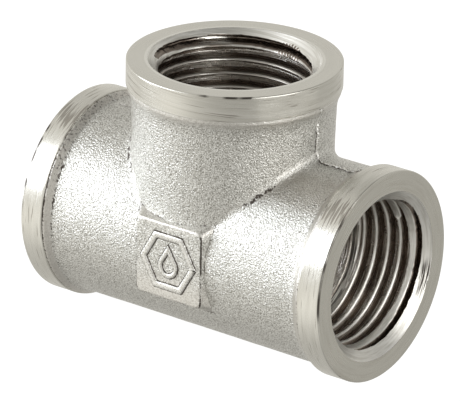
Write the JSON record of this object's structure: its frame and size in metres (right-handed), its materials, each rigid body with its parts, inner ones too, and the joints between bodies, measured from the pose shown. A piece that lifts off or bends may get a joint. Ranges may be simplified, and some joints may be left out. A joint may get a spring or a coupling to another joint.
{
  "type": "threaded pipe tee",
  "caption": "Equal pipe tee in nickel-plated brass: a straight run with a branch at right angles, female threaded ports with turned collars, and a square marking pad.",
  "frame": {"origin": "where the run axis and the branch axis cross", "axes": "+X along the run towards the right port, +Z out of the branch port, the marking pad faces -Y"},
  "size_m": [0.0454, 0.0264, 0.0359],
  "materials": {
    "blasted": "nickel plating over a shot-blasted forged surface",
    "turned": "nickel plating over a turned surface, satin to bright",
    "tapped": "thin nickel plating over a tapped bore, bright crests and darker flanks"
  },
  "bodies": {
    "root": {"junction": "blasted", "left_barrel": "blasted", "right_barrel": "blasted", "branch_barrel": "blasted", "left_collar": "turned", "right_collar": "turned", "branch_collar": "turned", "left_thread": "tapped", "right_thread": "tapped", "branch_thread": "tapped", "marking_pad": "blasted", "pad_emblem": "blasted", "parting_ridge": "blasted"}
  },
  "joints": []
}
